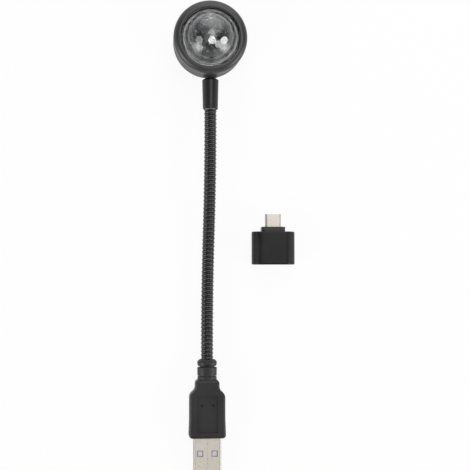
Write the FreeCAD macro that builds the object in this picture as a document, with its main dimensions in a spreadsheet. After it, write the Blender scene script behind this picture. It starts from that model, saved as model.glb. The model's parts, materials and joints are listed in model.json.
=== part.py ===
import FreeCAD, Part
import math
import os
import types

import Sketcher
from FreeCAD import Placement, Rotation, Vector

# A star projector on a gooseneck, lying on its back, with its adapter beside it.
# The origin is the middle of the head's flat back, +Z is the way the lens looks,
# and the neck and the plug lie along -Y.

# Driving sizes in mm, and one angle in degrees
SIZES = {
    # head: shell, bezel and dome
    "head_dia": 32.0,
    "back_draft": 0.4,
    "back_round": 1.4,
    "seam_edge": 0.2,
    "shell_height": 14.4,
    "wall": 1.8,
    "back_wall": 1.6,
    "bezel_height": 4.0,
    "bezel_round": 2.6,
    "lip_round": 0.5,
    "skirt_wall": 0.6,
    "skirt_depth": 1.5,
    "push_fit": 0.1,
    "flange_thick": 1.2,
    "flange_cover": 0.75,
    "lens_gap": 0.3,
    "collar_height": 1.6,
    "facet_inset": 1.45,
    "facet_tilt": 17.0,
    "dome_rise": 1.0,
    "collar_edge": 0.4,
    "hollow_rise": 2.7,
    "lamp_gap": 1.1,
    "lamp_room": 2.4,
    # head: circuit board and what it carries
    "board_thick": 1.2,
    "spacer_height": 1.8,
    "spacer_wall": 1.7,
    "post_dia": 4.0,
    "screw_clearance": 0.8,
    "screw_dia": 1.9,
    "screw_head_dia": 3.2,
    "screw_head_height": 0.9,
    "screw_length": 6.0,
    "thread_play": 0.05,
    "led_reach": 4.8,
    "led_dia": 5.0,
    "led_rim_dia": 5.8,
    "led_rim_height": 1.0,
    "led_length": 8.6,
    "lead_width": 0.5,
    "lead_pitch": 2.54,
    "lead_tail": 1.0,
    "lead_hole_dia": 0.9,
    "mic_dia": 6.0,
    "mic_height": 2.7,
    "mic_inset": 1.6,
    "chip_length": 4.9,
    "chip_width": 3.9,
    "chip_height": 1.5,
    "chip_inset": 5.2,
    "capacitor_dia": 4.0,
    "capacitor_height": 5.4,
    "capacitor_shift": 0.6,
    "small_part_length": 1.6,
    "small_part_width": 0.8,
    "small_part_height": 0.5,
    "small_part_inset": 2.7,
    "wire_dia": 1.1,
    "wire_gap": 0.11,
    "wire_run": 1.6,
    "wire_forward": 1.8,
    "wire_spread": 1.76,
    "wire_bend": 0.7,
    # ferrule and its nut
    "nut_clearance": 0.4,
    "boss_dia": 6.2,
    "boss_proud": 0.1,
    "boss_root": 0.6,
    "pad_rise": 1.3,
    "pad_margin": 0.7,
    "thread_dia": 4.0,
    "waist_dia": 4.9,
    "waist_length": 0.9,
    "sleeve_dia": 7.2,
    "sleeve_end_dia": 6.6,
    "sleeve_length": 13.4,
    "sleeve_edge": 0.45,
    "socket_depth": 6.0,
    "ferrule_bore_dia": 2.7,
    "washer_dia": 7.0,
    "washer_thick": 0.5,
    "nut_across": 7.0,
    "nut_height": 2.2,
    "thread_past_nut": 0.4,
    # gooseneck
    "neck_length": 109.0,
    "neck_dia": 5.5,
    "neck_shift": 0.45,
    "rib_depth": 0.22,
    "neck_bore_dia": 2.8,
    "cable_dia": 2.1,
    "cable_past_neck": 1.0,
    "cable_past_thread": 0.6,
    "ball_radius": 3.4,
    "joint_gap": 0.08,
    "neck_play": 0.05,
    # plug cover
    "plug_shift": 0.95,
    "cover_thick": 9.0,
    "cover_width": 15.55,
    "cover_flare": 0.25,
    "flare_length": 8.4,
    "cover_neck_width": 10.5,
    "cover_length": 25.3,
    "cover_neck_length": 2.7,
    "shoulder_length": 5.0,
    "cover_edge": 1.2,
    "cover_corner": 1.5,
    "relief_dia": 8.6,
    "relief_length": 8.9,
    "bead_length": 2.9,
    "ring_length": 3.7,
    "ring_edge": 0.15,
    "ring_edge_length": 0.35,
    "ring_taper": 0.08,
    "relief_groove": 0.5,
    "relief_slit": 0.4,
    "relief_core_dia": 6.4,
    "slit_dia": 7.2,
    "relief_root": 0.6,
    "web_width": 1.7,
    "web_depth": 8.2,
    "panel_width": 8.9,
    "panel_length": 15.9,
    "panel_start": 15.8,
    "panel_depth": 0.5,
    "pin_mark_dia": 1.2,
    "pin_mark_reach": 2.45,
    "pin_mark_place": 4.1,
    "pin_mark_depth": 1.0,
    # USB-A plug
    "shell_width": 12.0,
    "shell_thick": 4.5,
    "shell_wall": 0.3,
    "shell_corner": 0.6,
    "shell_reach": 18.75,
    "shell_hidden": 9.0,
    "window_width": 2.6,
    "window_length": 2.6,
    "window_reach": 3.15,
    "window_place": 6.65,
    "seam_width": 0.15,
    "tongue_thick": 1.9,
    "tongue_set_back": 1.4,
    "contact_width": 1.0,
    "contact_thick": 0.2,
    "contact_pitch": 2.33,
    "contact_set_back": 2.6,
    "tail_length": 5.0,
    "solder_length": 2.5,
    "core_run": 1.0,
    "core_step": 0.3,
    "core_bend": 0.4,
    "core_channel_dia": 3.7,
    "mould_width": 12.4,
    "mould_thick": 5.8,
    "mould_length": 9.2,
    "anchor_wall": 0.9,
    "anchor_length": 2.4,
    "tail_insert": 10.0,
    # adapter
    "adapter_x": 28.2,
    "adapter_y": -83.6,
    "adapter_width": 19.0,
    "adapter_thick": 9.5,
    "adapter_length": 14.5,
    "adapter_wall": 1.2,
    "adapter_edge": 0.5,
    "core_play": 0.05,
    "plinth_width": 10.3,
    "plinth_thick": 6.4,
    "plinth_height": 2.1,
    "plinth_chamfer": 1.3,
    "plinth_edge": 0.25,
    "micro_width": 6.85,
    "micro_thick": 1.8,
    "micro_bevel": 0.75,
    "micro_wall": 0.25,
    "micro_reach": 5.6,
    "micro_root": 1.4,
    "micro_tongue_thick": 0.5,
    "micro_tongue_set_back": 0.6,
    "micro_contact_width": 0.35,
    "micro_contact_thick": 0.15,
    "micro_contact_pitch": 0.65,
    "micro_contact_set_back": 1.2,
    "latch_width": 0.6,
    "latch_length": 1.8,
    "latch_proud": 0.3,
    "latch_reach": 2.3,
    "latch_set_back": 1.9,
    "latch_room": 0.3,
    "latch_side": 0.1,
    "socket_width": 12.5,
    "socket_thick": 5.12,
    "socket_wall": 0.3,
    "socket_inset": 3.6,
    "socket_tongue_width": 11.1,
    "socket_tongue_thick": 1.84,
    "socket_tongue_set_back": 1.2,
    "socket_tongue_gap": 0.4,
    "socket_contact_set_back": 0.8,
    "bridge_width": 11.0,
    "bridge_thick": 0.8,
    "bridge_seat": 0.25,
}
FACET_RINGS, FACET_TURN = 5, 30  # rings of facets round the top one, and where the first ring starts
FACET_LIMIT = 78  # the steepest facet, in degrees
NECK_RIBS = 63
LOW_LINKS, LOW_RIBS = 5, 6  # the lower neck bends every 6 ribs
HIGH_LINKS, HIGH_RIBS = 9, 3  # the upper neck bends every 3 ribs
FOOT_RIBS = 3.5  # ribs below the first bend
TAIL_RIBS = 5  # ribs shown by the neck's lowest piece
RIB_FOOT, RIB_CROWN = 0.08, 0.30  # where a rib starts and is full, in shares of its pitch
BEAD_PROFILE = ((1.0, 0), (0.1, 0.27), (0, 0.5), (0.08, 0.78), (0.4, 1))  # inset in mm, share of the length
FIRST_POST, FIRST_LAMP, MIC_ANGLE, CHIP_ANGLE = 90, 30, 48, 130  # degrees round the board
SMALL_PART_ANGLES = (0, 20, 115, 180, 245, 295)
CUT_OVER = 1.0  # how far a cutting tool reaches past the piece, in mm
WELD = 0.1  # how far joined blocks reach into each other, in mm

doc = FreeCAD.newDocument("star_projector")
sheet = doc.addObject("Spreadsheet::Sheet", "sizes")
for row, (alias, number) in enumerate(SIZES.items(), 1):
    sheet.set(f"A{row}", alias)
    sheet.set(f"B{row}", str(number))
    sheet.setAlias(f"B{row}", alias)
doc.recompute()


class Size:
    """A length known as a number and as the expression that binds it to the sheet."""

    def __init__(self, text, value):
        self.text, self.value = text, value

    @staticmethod
    def of(other):
        return other if isinstance(other, Size) else Size(f"({other})", float(other))

    def __add__(self, other):
        other = Size.of(other)
        return Size(f"({self.text} + {other.text})", self.value + other.value)

    def __sub__(self, other):
        other = Size.of(other)
        return Size(f"({self.text} - {other.text})", self.value - other.value)

    def __mul__(self, other):
        other = Size.of(other)
        return Size(f"({self.text} * {other.text})", self.value * other.value)

    def __truediv__(self, other):
        other = Size.of(other)
        return Size(f"({self.text} / {other.text})", self.value / other.value)

    def __radd__(self, other):
        return Size.of(other) + self

    def __rsub__(self, other):
        return Size.of(other) - self

    def __rmul__(self, other):
        return Size.of(other) * self

    def __neg__(self):
        return 0 - self

    def root(self):
        return Size(f"sqrt({self.text})", math.sqrt(self.value))


S = types.SimpleNamespace(**{a: Size(f"sizes.{a}", float(sheet.get(a))) for a in SIZES})
nodes = []
ALONG = Rotation(Vector(1, 0, 0), 90)  # turns a piece's own Z to -Y and its own Y up
INWARD = Rotation(Vector(1, 0, 0), -90)  # turns a piece's own Z to +Y


def bind(obj, name, size):
    obj.setExpression(name, Size.of(size).text)


def put(obj, at=(0, 0, 0), turn=Rotation()):
    obj.Placement = Placement(Vector(*(Size.of(v).value for v in at)), turn)
    for axis, size in zip("xyz", at):
        bind(obj, f"Placement.Base.{axis}", size)
    return obj


def node(obj, name, at=(0, 0, 0), turn=Rotation()):
    obj.Label = name
    nodes.append(obj)
    return put(obj, at, turn)


def outline(sketch, corners):
    """Closed outline through corners. A third value bends the side that leaves a corner:
    a radius above 0 bends it to the left, and below 0 to the right."""
    flat = [Vector(Size.of(corner[0]).value, Size.of(corner[1]).value, 0) for corner in corners]
    ends = []
    for i, corner in enumerate(corners):
        p, q = flat[i], flat[(i + 1) % len(flat)]
        if len(corner) == 2:
            ends.append((sketch.addGeometry(Part.LineSegment(p, q)), 1, 2))
            continue
        radius = Size.of(corner[2])
        left = Vector(p.y - q.y, q.x - p.x, 0).normalize()
        half = (q - p).Length / 2
        depth = math.sqrt(max(radius.value**2 - half**2, 0))
        side = math.copysign(1, radius.value)
        middle = (p + q) / 2 + left * depth * side
        first, last = (p, q) if side > 0 else (q, p)
        angles = [math.atan2(v.y - middle.y, v.x - middle.x) for v in (first, last)]
        circle = Part.Circle(middle, Vector(0, 0, 1), abs(radius.value))
        geo = sketch.addGeometry(Part.ArcOfCircle(circle, *angles))
        ends.append((geo, 1, 2) if side > 0 else (geo, 2, 1))
    for i, (corner, (geo, first, last)) in enumerate(zip(corners, ends)):
        following = ends[(i + 1) % len(ends)]
        sketch.addConstraint(Sketcher.Constraint("Coincident", geo, last, following[0], following[1]))
        for kind, axis, size in (("DistanceX", -2, corner[0]), ("DistanceY", -1, corner[1])):
            size = Size.of(size)
            if size.text == "(0)":
                sketch.addConstraint(Sketcher.Constraint("PointOnObject", geo, first, axis))
                continue
            rule = Sketcher.Constraint(kind, -1, 1, geo, first, size.value)
            bind(sketch, f"Constraints[{sketch.addConstraint(rule)}]", size)
        if len(corner) == 3:
            radius = Size.of(corner[2])
            radius = radius if radius.value > 0 else -radius
            rule = Sketcher.Constraint("Radius", geo, radius.value)
            bind(sketch, f"Constraints[{sketch.addConstraint(rule)}]", radius)


def sketched(name, corners, plane, start=0):
    """A new body with one closed sketch on one of its own planes, start above that plane."""
    body = doc.addObject("PartDesign::Body", name)
    sketch = body.newObject("Sketcher::SketchObject", name + "_outline")
    support = next(f for f in body.Origin.OriginFeatures if f.Role == plane)
    sketch.AttachmentSupport = [(support, "")]
    sketch.MapMode = "FlatFace"
    bind(sketch, "AttachmentOffset.Base.z", start)
    outline(sketch, corners)
    return body, sketch


def turned(name, corners):
    """A body of revolution about its own Z: corners are (radius, height)."""
    body, sketch = sketched(name, corners, "XZ_Plane")
    revolution = body.newObject("PartDesign::Revolution", name + "_turning")
    revolution.Profile = sketch
    revolution.ReferenceAxis = (sketch, ["V_Axis"])
    revolution.Angle = 360
    return body


def slab(name, corners, start, length, plane="XY_Plane"):
    """A body of one outline, from start along the plane's normal."""
    body, sketch = sketched(name, corners, plane, start)
    pad = body.newObject("PartDesign::Pad", name + "_pad")
    pad.Profile = sketch
    bind(pad, "Length", length)
    return body


def fillet(body, name, radius, choose):
    """Rounds the edges of a body that choose picks."""
    doc.recompute()
    before = body.Tip
    edges = [f"Edge{i}" for i, edge in enumerate(body.Shape.Edges, 1) if choose(edge)]
    rounding = body.newObject("PartDesign::Fillet", name)
    rounding.Base = (before, edges)
    bind(rounding, "Radius", radius)


def rectangle(width, height, x=0, y=0):
    x, y = Size.of(x), Size.of(y)
    return [
        (x - width / 2, y - height / 2),
        (x + width / 2, y - height / 2),
        (x + width / 2, y + height / 2),
        (x - width / 2, y + height / 2),
    ]


def rounded(width, height, radius):
    side, top = width / 2, height / 2
    return [
        (radius - side, -top),
        (side - radius, -top, radius),
        (side, radius - top),
        (side, top - radius, radius),
        (side - radius, top),
        (radius - side, top, radius),
        (-side, top - radius),
        (-side, radius - top, radius),
    ]


def racetrack(width, height):
    end = height / 2
    side = width / 2 - end
    return [
        (-side, -end),
        (side, -end, end),
        (side + end, 0, end),
        (side, end),
        (-side, end, end),
        (-side - end, 0, end),
    ]


def box(width, depth, height, x=0, y=0, z=0):
    """A block with its middle at x, y and its underside at z."""
    obj = doc.addObject("Part::Box", "block")
    for name, size in (("Length", width), ("Width", depth), ("Height", height)):
        bind(obj, name, size)
    return put(obj, (Size.of(x) - Size.of(width) / 2, Size.of(y) - Size.of(depth) / 2, z))


def rod(radius, length, x=0, y=0, z=0, turn=Rotation()):
    obj = doc.addObject("Part::Cylinder", "rod")
    bind(obj, "Radius", radius)
    bind(obj, "Height", length)
    return put(obj, (x, y, z), turn)


def joined(name, parts):
    obj = doc.addObject("Part::MultiFuse", name)
    obj.Shapes = parts
    return obj


def grouped(name, parts):
    obj = doc.addObject("Part::Compound", name)
    obj.Links = parts
    return obj


def cut(name, base, tools):
    obj = doc.addObject("Part::Cut", name)
    obj.Base = base
    obj.Tool = tools[0] if len(tools) == 1 else joined(name + "_tools", tools)
    return obj


def shaped(name, shape):
    obj = doc.addObject("Part::Feature", name)
    obj.Shape = shape
    return obj


def cord(points, radius, bend):
    """A round cord through the points, with its corners rounded to the bend radius."""
    edges, start = [], points[0]
    for before, corner, after in zip(points, points[1:], points[2:]):
        back, on = (before - corner).normalize(), (after - corner).normalize()
        half = back.getAngle(on) / 2
        reach = bend / math.tan(half)
        first, last = corner + back * reach, corner + on * reach
        middle = corner + (back + on).normalize() * (bend / math.sin(half) - bend)
        edges += [Part.makeLine(start, first), Part.Arc(first, middle, last).toShape()]
        start = last
    edges.append(Part.makeLine(start, points[-1]))
    return swept(edges, radius)


def swept(edges, radius):
    path = Part.Wire(edges)
    start = edges[0].valueAt(edges[0].FirstParameter)
    along = edges[0].tangentAt(edges[0].FirstParameter)
    ring = Part.Wire([Part.makeCircle(radius, start, along)])
    return path.makePipe(Part.Face(ring))


def around(reach, count, first):
    """Places spread evenly on a circle, as sizes."""
    for k in range(count):
        angle = math.radians(first + 360 * k / count)
        yield reach * round(math.cos(angle), 9), reach * round(math.sin(angle), 9)


# Heights and radii that several pieces of the head share
head_r = S.head_dia / 2
shell_in_r = head_r - S.wall
skirt_r = shell_in_r - S.push_fit
skirt_in_r = skirt_r - S.skirt_wall
flange_r = skirt_in_r - S.push_fit
lens_hole_r = flange_r - S.flange_cover
collar_r = lens_hole_r - S.lens_gap
facet_r = collar_r - S.facet_inset
flange_z = S.shell_height
lip_z = flange_z + S.flange_thick
dome_z = lip_z + S.dome_rise
board_top = flange_z - S.spacer_height
board_z = board_top - S.board_thick
lamp_top = board_top + S.led_length
board_r = flange_r - S.push_fit
spacer_in_r = board_r - S.spacer_wall
post_reach = spacer_in_r - S.screw_head_dia / 2 - S.screw_clearance
neck_z = board_z - S.nut_clearance - S.nut_across / 2
seat_y = head_r + S.boss_proud
pad_y = shell_in_r - S.pad_rise

# Rear shell: a drafted cup with three screw posts and the seat of the neck
cup = turned("cup", [
    (0, 0),
    (head_r - S.back_draft - S.back_round, 0, S.back_round),
    (head_r - S.back_draft, S.back_round),
    (head_r, S.shell_height - S.seam_edge),
    (head_r - S.seam_edge, S.shell_height),
    (shell_in_r, S.shell_height),
    (shell_in_r, S.back_wall),
    (0, S.back_wall),
])
posts, pilots = [], []
pilot_depth = S.screw_length
post_places = list(around(post_reach, 3, FIRST_POST))
for x, y in post_places:
    posts.append(rod(S.post_dia / 2, board_z - S.back_wall / 2, x, y, S.back_wall / 2))
    pilots.append(rod(S.screw_dia / 2 + S.thread_play, pilot_depth, x, y, board_z - pilot_depth))
boss_start = shell_in_r - S.boss_root
boss = rod(S.boss_dia / 2, seat_y - boss_start, S.neck_shift, -boss_start, neck_z, ALONG)
pad_depth = S.pad_rise + S.wall / 2
pad = box(S.nut_across + S.pad_margin * 2, pad_depth, S.nut_across, S.neck_shift,
          -pad_y - pad_depth / 2, neck_z - S.nut_across / 2)
neck_hole = rod(S.thread_dia / 2 + S.push_fit, seat_y - pad_y + CUT_OVER * 2, S.neck_shift,
                CUT_OVER - pad_y, neck_z, ALONG)
shell_solid = joined("shell_solid", [cup, boss, pad] + posts)
node(cut("shell_cut", shell_solid, [neck_hole] + pilots), "rear_shell")

# Front bezel: a rounded rim with a skirt that pushes into the shell
bezel_top = flange_z + S.bezel_height
node(turned("bezel", [
    (skirt_r, flange_z - S.skirt_depth),
    (skirt_r, flange_z),
    (head_r - S.seam_edge, flange_z),
    (head_r, flange_z + S.seam_edge),
    (head_r, bezel_top - S.bezel_round, S.bezel_round),
    (head_r - S.bezel_round, bezel_top),
    (lens_hole_r + S.lip_round, bezel_top, S.lip_round),
    (lens_hole_r, bezel_top - S.lip_round),
    (lens_hole_r, lip_z),
    (skirt_in_r, lip_z),
    (skirt_in_r, flange_z - S.skirt_depth),
]), "front_bezel")


def facet_normals():
    """One normal for each point of a hexagonal lattice that is wrapped over the dome."""
    steps = range(-FACET_RINGS, FACET_RINGS + 1)
    for x, y in ((i + j / 2, j * math.sqrt(3) / 2) for i in steps for j in steps):
        tilt = S.facet_tilt.value * math.hypot(x, y)
        if tilt < FACET_LIMIT:
            tilt, turn = math.radians(tilt), math.atan2(y, x) + math.radians(FACET_TURN)
            yield Vector(math.sin(tilt) * math.cos(turn), math.sin(tilt) * math.sin(turn), math.cos(tilt))


def dome_shape():
    """A round block cut flat by each facet, on a collar and a flange, with a hollow over the lamps."""
    middle, r, wide = Vector(0, 0, dome_z.value), facet_r.value, head_r.value
    top = lip_z.value + S.collar_height.value
    dome = Part.makeCylinder(wide, middle.z + 2 * r - top, Vector(0, 0, top))
    for normal in facet_normals():
        half_space = Part.makeBox(4 * wide, 4 * wide, 4 * wide, Vector(-2 * wide, -2 * wide, r))
        half_space.Placement = Placement(middle, Rotation(Vector(0, 0, 1), normal))
        dome = dome.cut(half_space)
    collar = Part.makeCylinder(collar_r.value, top - flange_z.value, Vector(0, 0, flange_z.value))
    rim = [edge for edge in collar.Edges if edge.BoundBox.ZMin > top - WELD]
    collar = collar.makeFillet(S.collar_edge.value, rim)
    flange = Part.makeCylinder(flange_r.value, S.flange_thick.value, Vector(0, 0, flange_z.value))
    hollow_r = S.led_reach.value + S.led_dia.value / 2 + S.lamp_gap.value
    throat_z, shoulder_z = flange_z.value - CUT_OVER, middle.z + S.hollow_rise.value
    throat = Part.makeCylinder(hollow_r, shoulder_z - throat_z, Vector(0, 0, throat_z))
    rise = lamp_top.value + S.lamp_room.value - shoulder_z
    ball_r = (hollow_r ** 2 + rise ** 2) / (2 * rise)
    ball = Part.makeSphere(ball_r, Vector(0, 0, shoulder_z + rise - ball_r))
    crown = ball.common(Part.makeCylinder(hollow_r, rise + CUT_OVER, Vector(0, 0, shoulder_z)))
    return dome.multiFuse([collar, flange]).removeSplitter().cut(throat.fuse(crown))


# Dome: clear, with flat facets all over
node(shaped("dome", dome_shape()), "facet_dome")

# Spacer ring between the board and the dome's flange
node(turned("spacer", [
    (spacer_in_r, board_top),
    (board_r, board_top),
    (board_r, flange_z),
    (spacer_in_r, flange_z),
]), "lens_spacer")

# Circuit board with holes for three screws and six lamp leads
led_places = list(around(S.led_reach, 3, FIRST_LAMP))
lead_places = [(x + side * S.lead_pitch / 2, y) for x, y in led_places for side in (-1, 1)]
hole_depth, hole_z = S.board_thick + CUT_OVER * 2, board_z - CUT_OVER
holes = [rod(S.screw_dia / 2 + S.push_fit, hole_depth, x, y, hole_z) for x, y in post_places]
holes += [rod(S.lead_hole_dia / 2, hole_depth, x, y, hole_z) for x, y in lead_places]
plate = rod(board_r, S.board_thick, 0, 0, board_z)
node(cut("board_cut", plate, holes), "led_board")

# Three dark lamps with their leads
led_r = S.led_dia / 2
for colour, (x, y) in zip(("red", "green", "blue"), led_places):
    node(turned("lamp_" + colour, [
        (0, 0),
        (S.led_rim_dia / 2, 0),
        (S.led_rim_dia / 2, S.led_rim_height),
        (led_r, S.led_rim_height),
        (led_r, S.led_length - led_r, led_r),
        (0, S.led_length),
    ]), "led_" + colour, (x, y, board_top))
lead_length = S.board_thick + S.lead_tail
leads = [box(S.lead_width, S.lead_width, lead_length, x, y, board_z - S.lead_tail) for x, y in lead_places]
node(grouped("leads", leads), "led_leads")

# Parts under the board
(mic_place,) = around(board_r - S.mic_inset - S.mic_dia / 2, 1, MIC_ANGLE)
(chip_place,) = around(board_r - S.chip_inset, 1, CHIP_ANGLE)
node(turned("microphone_can", [
    (0, 0),
    (S.mic_dia / 2, 0),
    (S.mic_dia / 2, S.mic_height),
    (0, S.mic_height),
]), "microphone", (*mic_place, board_z - S.mic_height))
node(slab("chip", rectangle(S.chip_width, S.chip_length), 0, S.chip_height),
     "control_chip", (*chip_place, board_z - S.chip_height))
node(turned("can", [
    (0, 0),
    (S.capacitor_dia / 2, 0),
    (S.capacitor_dia / 2, S.capacitor_height),
    (0, S.capacitor_height),
]), "capacitor", (0, S.capacitor_shift, board_z - S.capacitor_height))
small_reach = board_r - S.small_part_inset
small_places = [place for angle in SMALL_PART_ANGLES for place in around(small_reach, 1, angle)]
node(grouped("small_parts", [
    box(S.small_part_length, S.small_part_width, S.small_part_height, x, y, board_z - S.small_part_height)
    for x, y in small_places
]), "board_parts")

# Three screws through the board into the posts
screws = []
for x, y in post_places:
    head = rod(S.screw_head_dia / 2, S.screw_head_height, x, y, board_top)
    shank = rod(S.screw_dia / 2, S.screw_length, x, y, board_top - S.screw_length)
    screws.append(joined("screw", [head, shank]))
node(grouped("screws", screws), "board_screws")

# Ferrule: threaded end, waist, tapered sleeve and the neck's socket, turned in one piece
sleeve_end = S.waist_length + S.sleeve_length
thread_end = seat_y - pad_y + S.washer_thick + S.nut_height + S.thread_past_nut
neck_r = S.neck_dia / 2
root_r = neck_r - S.rib_depth
socket_r = neck_r + S.neck_play
edge = S.sleeve_edge
node(turned("ferrule", [
    (S.ferrule_bore_dia / 2, -thread_end),
    (S.thread_dia / 2, -thread_end),
    (S.thread_dia / 2, 0),
    (S.waist_dia / 2, 0),
    (S.waist_dia / 2, S.waist_length),
    (S.sleeve_dia / 2 - edge, S.waist_length),
    (S.sleeve_dia / 2, S.waist_length + edge),
    (S.sleeve_end_dia / 2, sleeve_end - edge),
    (S.sleeve_end_dia / 2 - edge, sleeve_end),
    (socket_r, sleeve_end),
    (socket_r, sleeve_end - S.socket_depth),
    (S.ferrule_bore_dia / 2, sleeve_end - S.socket_depth),
]), "upper_ferrule", (S.neck_shift, -seat_y, neck_z), ALONG)

# Washer and nut that hold the ferrule in the shell's wall
clear_r = S.thread_dia / 2 + S.thread_play
node(turned("washer", [
    (clear_r, 0),
    (S.washer_dia / 2, 0),
    (S.washer_dia / 2, S.washer_thick),
    (clear_r, S.washer_thick),
]), "neck_washer", (S.neck_shift, -pad_y, neck_z), INWARD)
corner = S.nut_across / math.sqrt(3)
hexagon = [(corner, 0), (corner / 2, S.nut_across / 2), (-corner / 2, S.nut_across / 2),
           (-corner, 0), (-corner / 2, -S.nut_across / 2), (corner / 2, -S.nut_across / 2)]
nut = slab("hexagon", hexagon, 0, S.nut_height)
bored = cut("nut_cut", nut, [rod(clear_r, S.nut_height + CUT_OVER * 2, 0, 0, -CUT_OVER)])
node(bored, "neck_nut", (S.neck_shift, S.washer_thick - pad_y, neck_z), INWARD)

# Course of the gooseneck: straight, two equal arcs that swing it over to the plug, straight
pitch = S.neck_length / NECK_RIBS
low_straight = pitch * FOOT_RIBS
high_straight = pitch * (NECK_RIBS - FOOT_RIBS - LOW_LINKS * LOW_RIBS - HIGH_LINKS * HIGH_RIBS)
neck_end_y = seat_y + sleeve_end
plug_at = (-S.plug_shift, -(neck_end_y + S.neck_length), S.cover_thick / 2)
foot = Vector(*(Size.of(v).value for v in plug_at)) + Vector(0, low_straight.value, 0)
crest = Vector(S.neck_shift.value, -(neck_end_y + high_straight).value, neck_z.value)
run = crest.y - foot.y
swing = Vector(crest.x - foot.x, 0, crest.z - foot.z)
swing_angle = 2 * math.atan2(swing.Length, run)
swing_r = run / 2 / math.sin(swing_angle)
swing.normalize()


def course(share):
    """The point at a share of the way along the two arcs."""
    from_end = share > 0.5
    angle = 2 * swing_angle * (1 - share if from_end else share)
    step = Vector(0, swing_r * math.sin(angle), 0) + swing * (swing_r * (1 - math.cos(angle)))
    return crest - step if from_end else foot + step


ball_r = S.ball_radius
bore_r = S.neck_bore_dia / 2


def rise(radius, ball):
    """Height of a ball's surface over its middle, at that radius."""
    return (ball * ball - radius * radius).root()


def ribs(start, count, width):
    """Corners of ribs from start upwards: four circles to a rib."""
    for k in range(count):
        yield root_r, start + width * (k + RIB_FOOT)
        yield neck_r, start + width * (k + RIB_CROWN)
        yield neck_r, start + width * (k + 1 - RIB_CROWN)
        yield root_r, start + width * (k + 1 - RIB_FOOT)


cup_r = ball_r + S.joint_gap
cup_edge = rise(root_r, cup_r)


def link(name, count):
    """A piece of the neck: a hollow ball end below, a round ball end above."""
    length = pitch * count
    top = length + rise(root_r, ball_r)
    width = (top - cup_edge) / count
    return turned(name, [
        (bore_r, rise(bore_r, cup_r), -cup_r),
        (root_r, cup_edge),
        *ribs(cup_edge, count, width),
        (root_r, top, ball_r),
        (bore_r, length + rise(bore_r, ball_r)),
    ])


# Links of the neck, from the plug upwards
counts = [LOW_RIBS] * LOW_LINKS + [HIGH_RIBS] * HIGH_LINKS
hinges = [course(sum(counts[:k]) / sum(counts)) for k in range(len(counts) + 1)]
for k, count in enumerate(counts):
    piece = link(f"link_{k + 1:02d}", count)
    piece.Label = f"neck_link_{k + 1:02d}"
    piece.Placement = Placement(hinges[k], Rotation(Vector(0, 0, 1), hinges[k + 1] - hinges[k]))
    nodes.append(piece)

# The neck's fixed ends: one in the plug, one in the ferrule
tail_top = rise(root_r, ball_r)
ribbed_from = tail_top - pitch * TAIL_RIBS
node(turned("tail", [
    (bore_r, -(low_straight + S.tail_insert)),
    (neck_r, -(low_straight + S.tail_insert)),
    (neck_r, ribbed_from - pitch * RIB_CROWN),
    *ribs(ribbed_from, TAIL_RIBS, pitch),
    (root_r, tail_top, ball_r),
    (bore_r, rise(bore_r, ball_r)),
]), "neck_tail", (plug_at[0], plug_at[1] + low_straight, plug_at[2]), INWARD)
node(turned("top", [
    (bore_r, rise(bore_r, cup_r), -cup_r),
    (root_r, cup_edge),
    *ribs(cup_edge, 1, pitch),
    (neck_r, cup_edge + pitch * (1 + RIB_CROWN)),
    (neck_r, high_straight + S.socket_depth),
    (bore_r, high_straight + S.socket_depth),
]), "neck_top", (S.neck_shift, -(neck_end_y + high_straight), neck_z), INWARD)

# Two-core cable through the neck
cable_start = Vector(foot.x, foot.y - (low_straight + S.tail_insert + S.cable_past_neck).value, foot.z)
cable_end = Vector(crest.x, (thread_end + S.cable_past_thread - seat_y).value, crest.z)
cable_path = [
    Part.makeLine(cable_start, foot),
    Part.Arc(foot, course(0.25), course(0.5)).toShape(),
    Part.Arc(course(0.5), course(0.75), crest).toShape(),
    Part.makeLine(crest, cable_end),
]
cable = node(shaped("cable", swept(cable_path, S.cable_dia.value / 2)), "neck_cable")

# Wires from the cable up to the board
wire_r = S.wire_dia.value / 2
core_x = wire_r + S.wire_gap.value / 2
for colour, side in (("red", -1), ("black", 1)):
    start = cable_end + Vector(side * core_x, 0, 0)
    low = start + Vector(0, S.wire_run.value, 0)
    under = Vector(side * S.wire_spread.value, low.y + S.wire_forward.value, start.z)
    pad_end = Vector(under.x, under.y, board_z.value)
    core = cord([start, low, under, pad_end], wire_r, S.wire_bend.value)
    node(shaped("core_" + colour, core), "wire_" + colour)

# Plug cover: the flat grip, in the plug's own frame with Z towards the tip
cover_end = S.relief_length + S.cover_length
half_neck = S.cover_neck_width / 2
half_cover = S.cover_width / 2
half_end = half_cover + S.cover_flare
shoulder = S.relief_length + S.cover_neck_length
bulge = (half_neck + half_cover) / 2
widening = half_cover - half_neck
shoulder_r = (widening * widening + S.shoulder_length * S.shoulder_length) / (widening * 4)
corner = S.cover_corner
right = [
    (half_neck - corner, S.relief_length, corner),
    (half_neck, S.relief_length + corner),
    (half_neck, shoulder, -shoulder_r),
    (bulge, shoulder + S.shoulder_length / 2, shoulder_r),
    (half_cover, shoulder + S.shoulder_length),
    (half_cover, cover_end - S.flare_length),
    (half_end, cover_end - corner, corner),
    (half_end - corner, cover_end),
]
left = [
    (corner - half_end, cover_end, corner),
    (-half_end, cover_end - corner),
    (-half_cover, cover_end - S.flare_length),
    (-half_cover, shoulder + S.shoulder_length, shoulder_r),
    (-bulge, shoulder + S.shoulder_length / 2, -shoulder_r),
    (-half_neck, shoulder),
    (-half_neck, S.relief_length + corner, corner),
    (corner - half_neck, S.relief_length),
]
grip = slab("grip", right + left, -S.cover_thick / 2, S.cover_thick, "XZ_Plane")
flat_y = S.cover_thick.value / 2
fillet(grip, "grip_rounding", S.cover_edge, lambda edge: (
    edge.BoundBox.YLength < 1e-6 and abs(edge.CenterOfMass.y) > flat_y - 1e-6))

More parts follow.
